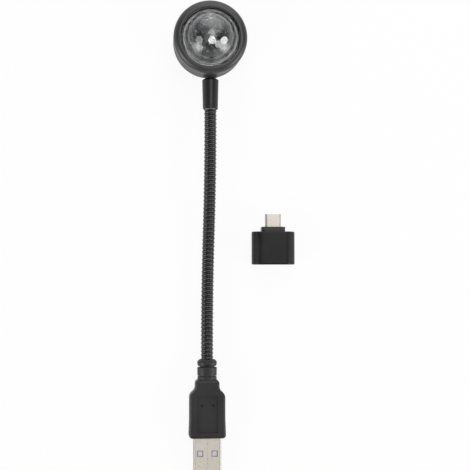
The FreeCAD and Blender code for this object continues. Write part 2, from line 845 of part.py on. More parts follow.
# Strain relief: a bead, a ring and a short ring, with the grooves between them
relief_r = S.relief_dia / 2
core_r = S.relief_core_dia / 2
slit_r = S.slit_dia / 2
ring_start = S.bead_length + S.relief_groove
slit_start = ring_start + S.ring_length
slit_end = slit_start + S.relief_slit
bore_of_cover = neck_r + S.neck_play
relief = turned("relief", [
    (bore_of_cover, 0),
    *((relief_r - inset, S.bead_length * share) for inset, share in BEAD_PROFILE),
    (core_r, S.bead_length),
    (core_r, ring_start),
    (relief_r - S.ring_edge, ring_start),
    (relief_r, ring_start + S.ring_edge_length),
    (relief_r - S.ring_taper, slit_start),
    (slit_r, slit_start),
    (slit_r, slit_end),
    (relief_r - S.ring_taper, slit_end),
    (relief_r - S.ring_taper, S.relief_length + S.relief_root),
    (bore_of_cover, S.relief_length + S.relief_root),
])
web = box(S.web_width, S.web_depth, S.relief_slit + WELD * 2, 0, 0, slit_start - WELD)

# Hollows of the cover for what is moulded into it
mould_end = cover_end - S.shell_hidden
mould_start = mould_end - S.mould_length
anchor_r = bore_of_cover + S.anchor_wall
panel = box(S.panel_width, S.panel_depth * 2, S.panel_length, 0, S.cover_thick / 2, S.panel_start)
marks = [
    rod(S.pin_mark_dia / 2, S.pin_mark_depth, side * S.pin_mark_reach, S.cover_thick / 2,
        S.panel_start + S.pin_mark_place, ALONG)
    for side in (-1, 1)
]
hollows = [
    rod(bore_of_cover, S.tail_insert + CUT_OVER, 0, 0, -CUT_OVER),
    rod(anchor_r, S.anchor_length, 0, 0, S.tail_insert - S.anchor_length),
    rod(S.core_channel_dia / 2, mould_start - S.tail_insert + CUT_OVER, 0, 0, S.tail_insert - CUT_OVER),
    box(S.mould_width, S.mould_thick, S.mould_length, 0, 0, mould_start),
    slab("shell_space", rounded(S.shell_width, S.shell_thick, S.shell_corner), mould_end,
         S.shell_hidden + CUT_OVER),
]
cover = cut("cover_cut", joined("cover_solid", [grip, relief, web]), hollows + [panel] + marks)
node(cover, "plug_cover", plug_at, ALONG)

# Crimped ring on the neck's lower end
node(turned("anchor", [
    (neck_r, S.tail_insert - S.anchor_length),
    (anchor_r, S.tail_insert - S.anchor_length),
    (anchor_r, S.tail_insert),
    (neck_r, S.tail_insert),
]), "neck_anchor", plug_at, ALONG)

# USB-A shell: a rounded tube with two windows on each face and a rolled seam on top
shell_length = S.shell_hidden + S.shell_reach
inside_width = S.shell_width - S.shell_wall * 2
inside_thick = S.shell_thick - S.shell_wall * 2
tube = slab("tube", rounded(S.shell_width, S.shell_thick, S.shell_corner), mould_end, shell_length)
hollow = slab("tube_space", rounded(inside_width, inside_thick, S.shell_corner - S.shell_wall / 2),
              mould_end - CUT_OVER, shell_length + CUT_OVER * 2)
windows = [
    box(S.window_width, S.shell_thick * 2, S.window_length, side * S.window_reach, 0,
        cover_end + S.window_place - S.window_length / 2)
    for side in (-1, 1)
]
seam = box(S.seam_width, S.shell_wall, shell_length + CUT_OVER * 2, 0, S.shell_thick / 2,
           mould_end - CUT_OVER)
node(cut("tube_cut", tube, [hollow, seam] + windows), "usb_shell", plug_at, ALONG)

# Tongue along the top of the shell, and four contacts under it
tongue_width = inside_width - S.shell_corner * 2
tongue_y = inside_thick / 2 - S.tongue_thick / 2
tongue_length = shell_length - S.tongue_set_back
contact_y = tongue_y - S.tongue_thick / 2
contact_start = mould_end - S.tail_length
contact_length = S.tail_length + shell_length - S.contact_set_back
tongue_block = slab("tongue_block", rectangle(tongue_width, S.tongue_thick, 0, tongue_y), mould_end,
                    tongue_length)
node(tongue_block, "usb_tongue", plug_at, ALONG)


def strips(width, thick, length, spread, count, y, z):
    return [box(width, thick, length, spread * (k - (count - 1) / 2), y, z) for k in range(count)]


contacts = strips(S.contact_width, S.contact_thick, contact_length, S.contact_pitch, 4,
                  contact_y - S.contact_thick / 2, contact_start)
node(grouped("plug_contacts", contacts), "usb_contacts", plug_at, ALONG)

# Two cores from the cable to the outer contacts
cable_tip = (S.tail_insert + S.cable_past_neck).value
under_y = (contact_y - S.contact_thick - S.thread_play).value - wire_r
outer_contact = S.contact_pitch.value * 1.5
cores = []
for side in (-1, 1):
    near = Vector(side * core_x, 0, cable_tip)
    bend = Vector(near.x, 0, (mould_start + S.core_run).value)
    far = Vector(side * outer_contact, under_y, (contact_start - S.core_step).value)
    soldered = far + Vector(0, 0, S.solder_length.value)
    cores.append(cord([near, bend, far, soldered], wire_r, S.core_bend.value))
core_pair = Part.makeCompound(cores)
node(shaped("plug_cores", core_pair), "plug_wires", plug_at, ALONG)

# Block moulded round the soldered ends
block = slab("mould_block", rectangle(S.mould_width, S.mould_thick), mould_start, S.mould_length)
tails = strips(S.contact_width, S.contact_thick, contact_length, S.contact_pitch, 4,
               contact_y - S.contact_thick / 2, contact_start)
slotted = cut("mould_slots", block, tails)
node(cut("mould_cut", slotted, [shaped("core_space", core_pair)]), "inner_mould", plug_at, ALONG)

# Adapter case: a flat cup with a hole for the plinth, in a frame with Z away from the micro plug
adapter_at = (S.adapter_x, S.adapter_y, S.adapter_thick / 2)
inner_width = S.adapter_width - S.adapter_wall * 2
inner_thick = S.adapter_thick - S.adapter_wall * 2


def bevelled(width, height, bevel):
    """A rectangle with its two upper corners cut off."""
    side, top = width / 2, height / 2
    return [
        (-side, -top),
        (side, -top),
        (side, top - bevel),
        (side - bevel, top),
        (bevel - side, top),
        (-side, top - bevel),
    ]


def plinth_outline(play=0):
    return bevelled(S.plinth_width + play * 2, S.plinth_thick + play * 2, S.plinth_chamfer)


case_space = slab("case_space", racetrack(inner_width, inner_thick), S.adapter_wall, S.adapter_length)
plinth_hole = slab("plinth_hole", plinth_outline(S.core_play), -CUT_OVER, S.adapter_wall + CUT_OVER * 2)
case = slab("case", racetrack(S.adapter_width, S.adapter_thick), 0, S.adapter_length)
fillet(case, "case_rounding", S.adapter_edge, lambda edge: edge.BoundBox.ZLength < 1e-6)
node(cut("case_cut", case, [case_space, plinth_hole]), "adapter_case", adapter_at, ALONG)


# Micro-USB plug on the plinth
def micro_outline(inset=0):
    return bevelled(S.micro_width - inset * 2, S.micro_thick - inset * 2, S.micro_bevel - inset / 2)


micro_tip = S.plinth_height + S.micro_reach
micro_length = micro_tip + S.micro_root
micro_y = S.micro_thick / 2 - S.micro_wall
latch_z = S.latch_set_back - micro_tip


def latch_slots(height):
    """Room round both latches, in the underside of the plug."""
    return [
        box(S.latch_width + S.latch_side * 2, height, S.latch_length + S.latch_room * 2,
            side * S.latch_reach, -S.micro_thick / 2, latch_z - S.latch_room)
        for side in (-1, 1)
    ]


micro_space = slab("micro_space", micro_outline(S.micro_wall), -micro_tip - CUT_OVER,
                   micro_length + CUT_OVER * 2)
micro_tube = slab("micro_tube", micro_outline(), -micro_tip, micro_length)
shell_slots = latch_slots(S.micro_wall * 4)
node(cut("micro_cut", micro_tube, [micro_space] + shell_slots), "micro_shell", adapter_at, ALONG)
micro_tongue_y = S.micro_tongue_thick / 2 - micro_y
micro_inside = S.micro_width - S.micro_wall * 2
micro_block = slab("micro_block", rectangle(micro_inside, S.micro_tongue_thick, 0, micro_tongue_y),
                   S.micro_tongue_set_back - micro_tip, micro_length - S.micro_tongue_set_back)
node(cut("micro_block_cut", micro_block, latch_slots(S.micro_thick)), "micro_tongue", adapter_at, ALONG)
node(grouped("micro_strips", strips(
    S.micro_contact_width, S.micro_contact_thick, micro_length - S.micro_contact_set_back,
    S.micro_contact_pitch, 5, micro_tongue_y + (S.micro_tongue_thick + S.micro_contact_thick) / 2,
    S.micro_contact_set_back - micro_tip,
)), "micro_contacts", adapter_at, ALONG)
latch_height = S.micro_tongue_thick + S.micro_wall + S.latch_proud
node(grouped("latch_pair", [
    box(S.latch_width, latch_height, S.latch_length, side * S.latch_reach,
        latch_height / 2 - S.micro_thick / 2 - S.latch_proud, latch_z)
    for side in (-1, 1)
]), "micro_latches", adapter_at, ALONG)

# USB-A socket at the other end
socket_out_width = S.socket_width + S.socket_wall * 2
socket_out_thick = S.socket_thick + S.socket_wall * 2
socket_length = S.adapter_length - S.socket_inset
socket_space = box(S.socket_width, S.socket_thick, socket_length + CUT_OVER * 2, 0, 0,
                   S.socket_inset - CUT_OVER)
socket_tube = slab("socket_tube", rectangle(socket_out_width, socket_out_thick), S.socket_inset,
                   socket_length)
node(cut("socket_cut", socket_tube, [socket_space]), "socket_shell", adapter_at, ALONG)
socket_tongue_y = S.socket_thick / 2 - S.socket_tongue_gap - S.socket_tongue_thick / 2
socket_tongue_length = socket_length - S.socket_tongue_set_back
node(slab("socket_block", rectangle(S.socket_tongue_width, S.socket_tongue_thick, 0, socket_tongue_y),
          S.socket_inset, socket_tongue_length), "socket_tongue", adapter_at, ALONG)
node(grouped("socket_strips", strips(
    S.contact_width, S.contact_thick, socket_tongue_length - S.socket_contact_set_back, S.contact_pitch, 4,
    socket_tongue_y - (S.socket_tongue_thick + S.contact_thick) / 2, S.socket_inset,
)), "socket_contacts", adapter_at, ALONG)

# Small board between the plug and the socket
bridge_length = S.socket_inset - S.micro_root
node(slab("bridge", rectangle(S.bridge_width, S.bridge_thick), S.micro_root, bridge_length),
     "adapter_board", adapter_at, ALONG)

# Core that fills the case, with the plinth in front
core_block = slab("core_block", racetrack(inner_width - S.core_play * 2, inner_thick - S.core_play * 2),
                  S.adapter_wall, S.adapter_length - S.adapter_wall)
plinth = slab("plinth", plinth_outline(), -S.plinth_height, S.plinth_height + S.adapter_wall + WELD)
plinth_front = S.plinth_height.value
fillet(plinth, "plinth_rounding", S.plinth_edge, lambda edge: edge.BoundBox.ZMax < 1e-6 - plinth_front)
core_spaces = [
    slab("micro_seat", micro_outline(), -S.plinth_height - CUT_OVER,
         S.plinth_height + S.micro_root + CUT_OVER),
    box(S.bridge_width, S.bridge_thick, bridge_length + S.bridge_seat * 2, 0, 0,
        S.micro_root - S.bridge_seat),
    box(socket_out_width, socket_out_thick, socket_length + CUT_OVER, 0, 0, S.socket_inset),
]
core_solid = joined("core_solid", [core_block, plinth])
node(cut("core_cut", core_solid, core_spaces), "adapter_core", adapter_at, ALONG)

doc.recompute()
for obj in doc.Objects:
    if "Invalid" in obj.State or "Error" in obj.State:
        raise RuntimeError(f"{obj.Label} did not compute")
os.makedirs("parts", exist_ok=True)
for obj in nodes:
    if obj.Shape.isNull() or not obj.Shape.isValid():
        raise RuntimeError(f"{obj.Label} has no valid shape")
    obj.Shape.exportStep(f"parts/{obj.Label}.step")
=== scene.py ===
import json
import math

import bmesh
import bpy
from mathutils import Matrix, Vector


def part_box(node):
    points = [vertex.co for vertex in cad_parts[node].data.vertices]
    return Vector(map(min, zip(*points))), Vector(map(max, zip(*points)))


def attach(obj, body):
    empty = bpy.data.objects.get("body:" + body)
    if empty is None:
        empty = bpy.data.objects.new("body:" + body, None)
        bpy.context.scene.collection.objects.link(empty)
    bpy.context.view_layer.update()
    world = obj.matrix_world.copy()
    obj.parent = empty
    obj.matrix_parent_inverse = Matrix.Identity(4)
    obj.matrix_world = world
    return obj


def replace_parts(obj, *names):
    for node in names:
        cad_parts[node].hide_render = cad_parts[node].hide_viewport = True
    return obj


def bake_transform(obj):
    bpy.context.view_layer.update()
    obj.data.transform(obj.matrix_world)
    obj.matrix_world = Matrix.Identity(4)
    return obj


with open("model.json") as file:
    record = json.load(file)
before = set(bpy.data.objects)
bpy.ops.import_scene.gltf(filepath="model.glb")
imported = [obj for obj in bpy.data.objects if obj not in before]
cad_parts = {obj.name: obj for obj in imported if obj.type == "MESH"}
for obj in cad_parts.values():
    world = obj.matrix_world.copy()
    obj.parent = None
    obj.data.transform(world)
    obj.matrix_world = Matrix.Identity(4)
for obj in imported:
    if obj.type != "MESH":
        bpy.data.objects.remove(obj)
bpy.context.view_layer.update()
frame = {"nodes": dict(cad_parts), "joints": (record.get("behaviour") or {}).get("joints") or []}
nodes = frame["nodes"]


# Camera: a still camera 56 cm over the table, a little to the left of the lamp and leaning
# 5 degrees to the right, so the head shows some of its left and lower side.
VIEW_PIXELS, VIEW_FOCUS = 470, 1268.9  # the picture's width, and the lens's length in the same pixels
SENSOR_WIDTH = 36.0
CAMERA_PLACE, CAMERA_TURN = (-0.0341, -0.1025, 0.56), (0.0314, -0.0817, -0.0017)
CLIP_NEAR, CLIP_FAR = 0.01, 20.0

camera_data = bpy.data.cameras.new("camera")
camera_data.sensor_width = SENSOR_WIDTH
camera_data.lens = VIEW_FOCUS / VIEW_PIXELS * SENSOR_WIDTH
camera_data.clip_start, camera_data.clip_end = CLIP_NEAR, CLIP_FAR
camera = bpy.data.objects.new("camera", camera_data)
camera.location = CAMERA_PLACE
camera.rotation_euler = CAMERA_TURN
bpy.context.scene.collection.objects.link(camera)
bpy.context.scene.camera = camera
bpy.context.scene.view_settings.view_transform = "Standard"


# Floor and light: white paper that sweeps up all round in a dim white tent, and keeps a faint shadow.
# Soft boxes stand overhead, beyond the head and on both sides, and three small flash heads in front
# of the lamp and to its right.
MM = 0.001
FLOOR_DROP, SWEEP_FLAT, SWEEP_ROUND, SWEEP_TOP = 0.3, 2400, 600, 900  # mm
SWEEP_STEPS, SWEEP_SIDES = 12, 96
PAPER, FIBRE_SHARE, FIBRE_SCALE = 0.86, 0.97, 900.0
GLOW, TENT = 0.92, 0.2
HEAD, NECK = (0, 0, 0.02), (0, -0.08, 0)


class Shade:
    """A socket in a node tree: sums on it add Math nodes, and add() makes any other node."""

    def __init__(self, tree, socket=None):
        self.tree, self.socket = tree, socket

    def add(self, kind, settings=None, sockets=None, out=0):
        node = self.tree.nodes.new("ShaderNode" + kind)
        for name, value in (settings or {}).items():
            setattr(node, name, value)
        for name, value in (sockets or {}).items():
            if isinstance(value, Shade):
                self.tree.links.new(value.socket, node.inputs[name])
            else:
                node.inputs[name].default_value = value
        return Shade(self.tree, node.outputs[out] if node.outputs else None)

    def maths(self, operation, *values):
        return self.add("Math", {"operation": operation}, dict(enumerate(values)))

    def __add__(self, other):
        return self.maths("ADD", self, other)

    def __sub__(self, other):
        return self.maths("SUBTRACT", self, other)

    def __rsub__(self, other):
        return self.maths("SUBTRACT", other, self)

    def __mul__(self, other):
        return self.maths("MULTIPLY", self, other)

    __radd__, __rmul__ = __add__, __mul__

    def __abs__(self):
        return self.maths("ABSOLUTE", self)

    def either(self, other):
        return self.maths("MAXIMUM", self, other)

    def step(self, low, high):
        """0 below low and 1 above high, smooth between them."""
        sockets = {"Value": self, "From Min": low, "From Max": high}
        return self.add("MapRange", {"interpolation_type": "SMOOTHSTEP"}, sockets)

    def between(self, first, second):
        """A colour that goes from the first to the second with this value."""
        ends = [end if isinstance(end, Shade) else (*end, 1) for end in (first, second)]
        return self.add("Mix", {"data_type": "RGBA"}, {"Factor": self, 6: ends[0], 7: ends[1]}, 2)

    def noise(self, scale, detail=3.0):
        """Noise at this place."""
        return self.add("TexNoise", None, {"Vector": self, "Scale": scale, "Detail": detail})

    def along(self, axis):
        """This place's distance along one axis."""
        return self.add("SeparateXYZ", None, {0: self}, axis)

    def bump(self, depth, strength=1.0):
        """The normal of a surface with this height."""
        return self.add("Bump", None, {"Strength": strength, "Distance": depth, "Height": self})


def new_finish(name):
    """An empty material, and the place on its surface in the frame's metres."""
    material = bpy.data.materials.new(name)
    material.use_nodes = True
    material.node_tree.nodes.clear()
    return material, Shade(material.node_tree).add("TexCoord", out="Object")


def turned(name, profile, centre, sides=32):
    """A turned mesh about Z at a centre, from (radius, height) corners in mm."""
    work, rings = bmesh.new(), []
    for radius, height in profile:
        ring = []
        for k in range(sides if radius else 1):
            turn = 2 * math.pi * k / sides
            corner = Vector((radius * math.cos(turn), radius * math.sin(turn), height))
            ring.append(work.verts.new(Vector(centre) + MM * corner))
        rings.append(ring)
    for low, high in zip(rings, rings[1:]):
        for k in range(sides):
            below = [low[k % len(low)], low[(k + 1) % len(low)]]
            above = [high[(k + 1) % len(high)], high[k % len(high)]]
            work.faces.new(list(dict.fromkeys(below + above)))
    bmesh.ops.recalc_face_normals(work, faces=work.faces)
    mesh = bpy.data.meshes.new(name)
    work.to_mesh(mesh)
    work.free()
    mesh.shade_smooth()
    piece = bpy.data.objects.new(name, mesh)
    bpy.context.scene.collection.objects.link(piece)
    return piece


sweep_profile = [(0, -FLOOR_DROP)]
for k in range(SWEEP_STEPS + 1):
    rise = math.radians(90 * k / SWEEP_STEPS)
    reach = SWEEP_FLAT + SWEEP_ROUND * math.sin(rise)
    sweep_profile.append((reach, SWEEP_ROUND * (1 - math.cos(rise)) - FLOOR_DROP))
sweep_profile.append((SWEEP_FLAT + SWEEP_ROUND, SWEEP_TOP))
floor = turned("paper_sweep", sweep_profile, (0, 0, 0), SWEEP_SIDES)

paper, place = new_finish("white_paper")
fibres = place.noise(FIBRE_SCALE)
seen = place.add("LightPath", out="Is Camera Ray")
for ray in ("Is Glossy Ray", "Is Transmission Ray"):
    seen = seen.either(place.add("LightPath", out=ray))
lit = place.add("BsdfDiffuse", None, {"Color": fibres.between((PAPER,) * 3, (PAPER * FIBRE_SHARE,) * 3)})
glow = place.add("Emission", None, {"Color": (1, 1, 1, 1)})
surface = place.add("MixShader", None, {0: seen * GLOW, 1: lit, 2: glow})
place.add("OutputMaterial", None, {"Surface": surface})
floor.data.materials.append(paper)

world = bpy.data.worlds.new("tent")
bpy.context.scene.world = world
world.use_nodes = True
world.node_tree.nodes.clear()
tent = Shade(world.node_tree)
cloth = tent.add("Background", None, {"Color": (1, 1, 1, 1), "Strength": TENT})
tent.add("OutputWorld", None, {"Surface": cloth})


def soft_box(name, at, aim, width, height, radiance):
    light = bpy.data.lights.new(name, "AREA")
    light.shape, light.size, light.size_y = "RECTANGLE", width, height
    light.energy = radiance * math.pi * width * height
    lamp = bpy.data.objects.new(name, light)
    lamp.location = at
    lamp.rotation_euler = (Vector(aim) - Vector(at)).to_track_quat("-Z", "Y").to_euler()
    lamp.visible_camera = False
    bpy.context.scene.collection.objects.link(lamp)


soft_box("box_left", (-0.64, -0.40, 0.32), NECK, width=0.46, height=0.44, radiance=5.5)
soft_box("box_right", (0.66, -0.36, 0.26), NECK, width=0.40, height=0.36, radiance=5.0)
soft_box("strip_right", (0.62, -0.36, 0.44), NECK, width=0.60, height=0.08, radiance=6.0)
soft_box("box_beyond", (0.06, 0.62, 0.42), HEAD, width=0.90, height=0.66, radiance=2.0)
soft_box("box_top", (0.0, -0.05, 1.1), NECK, width=0.9, height=0.8, radiance=0.47)
soft_box("box_over", (0.14, 0.17, 0.80), HEAD, width=0.40, height=0.30, radiance=3.5)
soft_box("flash_front", (0.053, -0.341, 0.805), HEAD, width=0.03, height=0.03, radiance=17.0)
soft_box("flash_side", (0.442, -0.514, 0.546), HEAD, width=0.04, height=0.04, radiance=9.0)
soft_box("flash_right", (0.749, -0.242, 0.36), HEAD, width=0.05, height=0.05, radiance=11.0)


# Rear shell and bezel: two injection moulded cups of black ABS with a fine eroded grain. The bezel's
# skirt pushes into the shell. The back sinks a little behind the three screw posts.
POST_REACH, POST_ANGLES = 0.0092, (90, 210, 330)
SINK_FLAT, SINK_EDGE, SINK_DEPTH = 0.00054, 0.00234, 3.0
GATE_FLAT, GATE_EDGE, GATE_DEPTH = 0.0007, 0.0009, 6.0
CLOUD_SCALE, FLOW_SCALE = 90.0, 420.0
ABS_DARK, ABS_LIGHT = (0.024, 0.024, 0.0245), (0.034, 0.034, 0.035)
ABS_GRAIN, ABS_DEPTH = 5200.0, 6e-6


def dress(material, *names):
    for name in names:
        for slot in nodes[name].material_slots:
            slot.material = material


def finish(material, place, sockets):
    """Closes a material with a Principled shader."""
    place.add("OutputMaterial", None, {"Surface": place.add("BsdfPrincipled", None, sockets)})
    return material


def near(place, centre, inner, outer):
    """1 within the inner distance of a point, and 0 beyond the outer one."""
    distance = place.add("VectorMath", {"operation": "DISTANCE"}, {0: place, 1: centre}, "Value")
    return 1 - distance.step(inner, outer)


def moulded(name, dark, light, rough, grain, depth, hollows=None, gloss=0.5):
    """Moulded plastic: cloudy colour, uneven gloss, a fine grain and the mould's shallow hollows."""
    material, place = new_finish(name)
    cloud = place.noise(CLOUD_SCALE).step(0.3, 0.7)
    flow = place.noise(FLOW_SCALE, detail=4.0)
    height = place.noise(grain, detail=2.0)
    if hollows:
        height = height - hollows(place)
    return finish(material, place, {
        "Base Color": cloud.between(dark, light),
        "Roughness": rough + 0.10 * (flow - 0.5) + 0.04 * cloud,
        "Specular IOR Level": gloss,
        "Normal": height.bump(depth),
    })


def sinks(place):
    """Shallow hollows behind the posts, and the gate's mark in the middle of the back."""
    hollow = GATE_DEPTH * near(place, (0, 0, 0), GATE_FLAT, GATE_EDGE)
    for angle in POST_ANGLES:
        x, y = math.cos(math.radians(angle)), math.sin(math.radians(angle))
        post = (POST_REACH * x, POST_REACH * y, 0)
        hollow = hollow + SINK_DEPTH * near(place, post, SINK_FLAT, SINK_EDGE)
    return hollow


back = moulded("black_abs_back", ABS_DARK, ABS_LIGHT, rough=0.48, grain=ABS_GRAIN, depth=ABS_DEPTH,
               hollows=sinks, gloss=0.35)
dress(back, "rear_shell")
rim = moulded("black_abs_rim", ABS_DARK, ABS_LIGHT, rough=0.34, grain=ABS_GRAIN, depth=ABS_DEPTH)
dress(rim, "front_bezel")


# Ferrule: turned steel in black satin paint, screwed into the shell's wall with a washer and a nut.
# The lathe's fine rings show through the paint, which is worn off in places along the lower edge.
LATHE_RINGS = (60.0, 9000.0, 60.0)
PAINT_DARK, PAINT_LIGHT, BARE_STEEL = (0.006, 0.006, 0.0062), (0.010, 0.010, 0.0102), (0.42, 0.42, 0.41)
WORN_HEIGHT, WORN_SCALE = 0.0004, 900.0
STAIN_SCALE = 160.0
# The dark colour serves for dents, for the seam's line, and for painted shade along the USB shell's bends.
PLATE_EDGE, DENT_AND_SHADE_DARK = (0.72, 0.72, 0.74, 1), (0.07, 0.065, 0.06)

ferrule_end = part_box("upper_ferrule")[0][1]
material, place = new_finish("ferrule_black_paint")
rings = place.add("Mapping", None, {"Vector": place, "Scale": LATHE_RINGS}).noise(1.0, detail=2.0)
peel = place.noise(1400.0, detail=2.0)
low_edge = 1 - place.along("Y").step(ferrule_end, ferrule_end + WORN_HEIGHT)
worn = low_edge * place.noise(WORN_SCALE, detail=2.0).step(0.42, 0.6)
dress(finish(material, place, {
    "Base Color": worn.between(peel.between(PAINT_DARK, PAINT_LIGHT), BARE_STEEL),
    "Metallic": worn,
    "Roughness": 0.30 + 0.10 * rings,
    "Specular IOR Level": 0.42,
    "Normal": (0.6 * rings + peel).bump(6e-6, 0.5),
}), "upper_ferrule")


def plated(name, dark, light, rough, streaks, dents_and_shade=None):
    """Bright metal with drawn streaks, given by the noise's scale along each axis, and dark dents and
    painted shade from a mask.
    """
    material, place = new_finish(name)
    streak = place.add("Mapping", None, {"Vector": place, "Scale": streaks}).noise(1.0, detail=4.0)
    stain = place.noise(STAIN_SCALE).step(0.35, 0.75)
    colour, height = (0.3 * stain + 0.7 * streak).between(dark, light), streak
    if dents_and_shade:
        dent_and_shade = dents_and_shade(place)
        colour, height = dent_and_shade.between(colour, DENT_AND_SHADE_DARK), streak - 2 * dent_and_shade
    return finish(material, place, {
        "Base Color": colour,
        "Metallic": 1.0,
        "Roughness": rough + 0.16 * (streak - 0.5) + 0.05 * stain,
        "Specular Tint": PLATE_EDGE,
        "Normal": height.bump(3e-6, 0.5),
    })


tinned = plated("tinned_steel", (0.50, 0.50, 0.49), (0.66, 0.66, 0.65), rough=0.32,
                streaks=(1500.0, 1500.0, 300.0))
dress(tinned, "neck_washer", "neck_nut", "board_screws", "led_leads")


# Circuit board: glass fibre with a black solder mask over copper tracks, held to the shell's posts by
# three screws. Under it hang two drawn aluminium cans, a moulded chip and six small parts, and two
# wires in PVC come to it from the neck.
TRACK_SCALE, TRACK_WIDTH = 420.0, 0.12
MASK_LOW, MASK_HIGH = (0.085, 0.086, 0.088), (0.125, 0.126, 0.126)
WIRE_GRAIN, WIRE_DEPTH = 3000.0, 4e-6

material, place = new_finish("board_black_mask")
tracks = place.add("TexBrick", {"offset": 0.5}, {
    "Vector": place, "Scale": TRACK_SCALE, "Mortar Size": TRACK_WIDTH, "Mortar Smooth": 0.4,
    "Color1": (0, 0, 0, 1), "Color2": (0, 0, 0, 1), "Mortar": (1, 1, 1, 1),
})
copper = place.add("RGBToBW", None, {"Color": tracks})
dress(finish(material, place, {
    "Base Color": copper.between(MASK_LOW, MASK_HIGH),
    "Roughness": 0.38 + 0.15 * place.noise(3000.0),
    "Normal": copper.bump(3e-5, 0.4),
}), "led_board")
cans = plated("drawn_aluminium", (0.50, 0.50, 0.50), (0.68, 0.68, 0.68), rough=0.35,
              streaks=(900.0, 900.0, 120.0))
dress(cans, "microphone", "capacitor")
chips = moulded("chip_moulded", (0.012, 0.012, 0.012), (0.024, 0.024, 0.024), rough=0.5, grain=6000.0,
                depth=6e-6)
dress(chips, "control_chip", "board_parts")
red_wire = moulded("wire_red_pvc", (0.36, 0.012, 0.012), (0.46, 0.02, 0.02), rough=0.4,
                   grain=WIRE_GRAIN, depth=WIRE_DEPTH)
dress(red_wire, "wire_red")
black_wire = moulded("wire_black_pvc", (0.010, 0.010, 0.010), (0.018, 0.018, 0.018), rough=0.4,
                     grain=WIRE_GRAIN, depth=WIRE_DEPTH)
dress(black_wire, "wire_black", "plug_wires")


# Lamps: three 5 mm castings of dark tinted epoxy that stand on the board. Each has a stamped steel
# cup with a light chip in it, on the end of one leg.
CUP_PROFILE = ((0, 0), (0.55, 0), (0.62, 0.5), (0.95, 1.3), (0.82, 1.3), (0.35, 0.75), (0, 0.75))
CHIP_PROFILE = ((0, 0.76), (0.26, 0.76), (0.26, 0.92), (0, 0.92))
CUP_LIFT = 0.0032
EPOXY_DARK, EPOXY_LIGHT = (0.05, 0.05, 0.053), (0.09, 0.09, 0.094)
PHOSPHOR_DARK, PHOSPHOR_LIGHT = (0.75, 0.72, 0.45), (0.9, 0.86, 0.6)

material, place = new_finish("smoked_epoxy_cast")
haze = place.noise(900.0, detail=2.0).step(0.35, 0.75)
dress(finish(material, place, {
    "Base Color": haze.between(EPOXY_DARK, EPOXY_LIGHT),
    "Roughness": 0.03 + 0.06 * haze,
    "IOR": 1.53,
    "Transmission Weight": 1.0,
}), "led_red", "led_green", "led_blue")

light_chip, place = new_finish("light_chip")
finish(light_chip, place, {
    "Base Color": place.noise(4000.0).between(PHOSPHOR_DARK, PHOSPHOR_LIGHT),
    "Roughness": 0.3 + 0.2 * place.noise(2500.0),
})
for colour in ("red", "green", "blue"):
    low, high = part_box("led_" + colour)
    foot = ((low[0] + high[0]) / 2, (low[1] + high[1]) / 2, low[2] + CUP_LIFT)
    for part, profile, material in (("cup", CUP_PROFILE, tinned), ("chip", CHIP_PROFILE, light_chip)):
        piece = turned(f"lamp_{part}_{colour}", profile, foot)
        piece.data.materials.append(material)
        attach(piece, "head")


# Spacer and facet dome: a white ring on the board, and on it one clear polished acrylic moulding
# with a flat hexagon for each star. The bezel clamps its flange. Faint flow lines, a little dust.
COLLAR_TOP, DOME_CENTRE, FACET_REACH = 0.0173, (0, 0, 0.0166), 0.0105
SHARP_ANGLE = 30  # degrees
CLEAR, DUSTY = (0.97, 0.98, 0.99), (0.86, 0.87, 0.88)

spacer = moulded("spacer_white", (0.78, 0.78, 0.77), (0.86, 0.86, 0.84), rough=0.42, grain=3000.0,
                 depth=8e-6)
dress(spacer, "lens_spacer")
material, place = new_finish("clear_acrylic_polished")
dust = place.noise(2600.0, detail=2.0).step(0.66, 0.8)
finish(material, place, {
    "Base Color": dust.between(CLEAR, DUSTY),
    "Roughness": 0.015 + 0.10 * dust,
    "IOR": 1.49,
    "Transmission Weight": 1.0,
    "Normal": place.noise(330.0, detail=1.0).bump(1e-6, 0.25),
})
dome_mesh = nodes["facet_dome"].data.copy()
dome_mesh.attributes.remove(dome_mesh.attributes["custom_normal"])
for face in dome_mesh.polygons:
    inside = (face.center - Vector(DOME_CENTRE)).length < FACET_REACH
    face.use_smooth = face.center.z < COLLAR_TOP or inside
dome_mesh.set_sharp_from_angle(angle=math.radians(SHARP_ANGLE))
dome_mesh.materials.clear()
dome_mesh.materials.append(material)
dome = bpy.data.objects.new("dome_polished", dome_mesh)
bpy.context.scene.collection.objects.link(dome)
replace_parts(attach(dome, "head"), "facet_dome")


# Gooseneck: a round steel wire and a wedge wire wound side by side into a tube and lacquered black,
# worn greyer on the crests. Between its fixed ends it is cut into stretches, one round each hinge.
NECK_LENGTH, NECK_RIBS = 0.109, 63
RIB_PITCH = NECK_LENGTH / NECK_RIBS
NECK_RADIUS, GROOVE, WEDGE_DROP, WIRE_ROUND = 0.00275, 0.00038, 0.5, 2.4
SIDES, CUTS, WIRE_ROWS = 44, 16, 10
FOOT_RIBS, CROWN_RIBS = 8, 5
RIBS_BELOW, RIBS_ABOVE = 3, 1  # how far the first and the last stretch reach past their hinges
LACQUER, WORN_LACQUER = (0.004, 0.004, 0.004), (0.030, 0.030, 0.029)

neck_lacquer, place = new_finish("neck_black_lacquer")
crest = place.add("Attribute", {"attribute_name": "crest"}, out="Fac").step(0.7, 1.0)
scuff = place.noise(700.0, detail=4.0).step(0.35, 0.7)
finish(neck_lacquer, place, {
    "Base Color": (crest * (0.5 + 0.5 * scuff)).between(LACQUER, WORN_LACQUER),
    "Roughness": 0.22 + 0.10 * scuff,
    "Specular IOR Level": 0.58,
    "Normal": place.noise(3000.0, detail=2.0).bump(5e-6),
})

hinges = [joint for joint in frame["joints"] if joint["type"] == "hinge"]
bends = [Vector(joint["pos_m"]) for joint in hinges]
ribs_at = [0]
for below, above in zip(bends, bends[1:]):
    ribs_at.append(ribs_at[-1] + round((above - below).length / RIB_PITCH))


